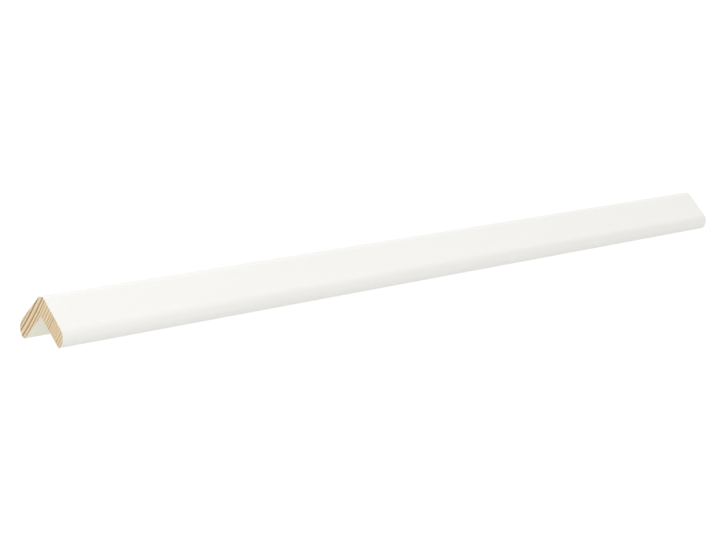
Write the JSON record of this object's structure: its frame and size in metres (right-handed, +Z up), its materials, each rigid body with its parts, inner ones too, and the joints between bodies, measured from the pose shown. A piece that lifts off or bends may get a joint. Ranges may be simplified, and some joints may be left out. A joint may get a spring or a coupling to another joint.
{
  "type": "corner moulding",
  "caption": "Straight length of white painted pine corner moulding: an angle section with equal legs, a rounded outer edge, bullnosed leg tips and square-cut bare ends.",
  "frame": {"origin": "middle of the length, on the plane that the two leg tips rest on, below the outer edge", "axes": "+X along the moulding away from the end that the picture shows, -Y towards the leg that faces the camera, +Z up through the rounded outer edge"},
  "size_m": [0.548, 0.0328, 0.0226],
  "materials": {
    "white_paint": "factory-sprayed satin white paint on planed pine",
    "bare_pine": "bare sawn pine end grain with narrow growth rings"
  },
  "bodies": {
    "root": {"corner_moulding": "white_paint"}
  },
  "joints": []
}
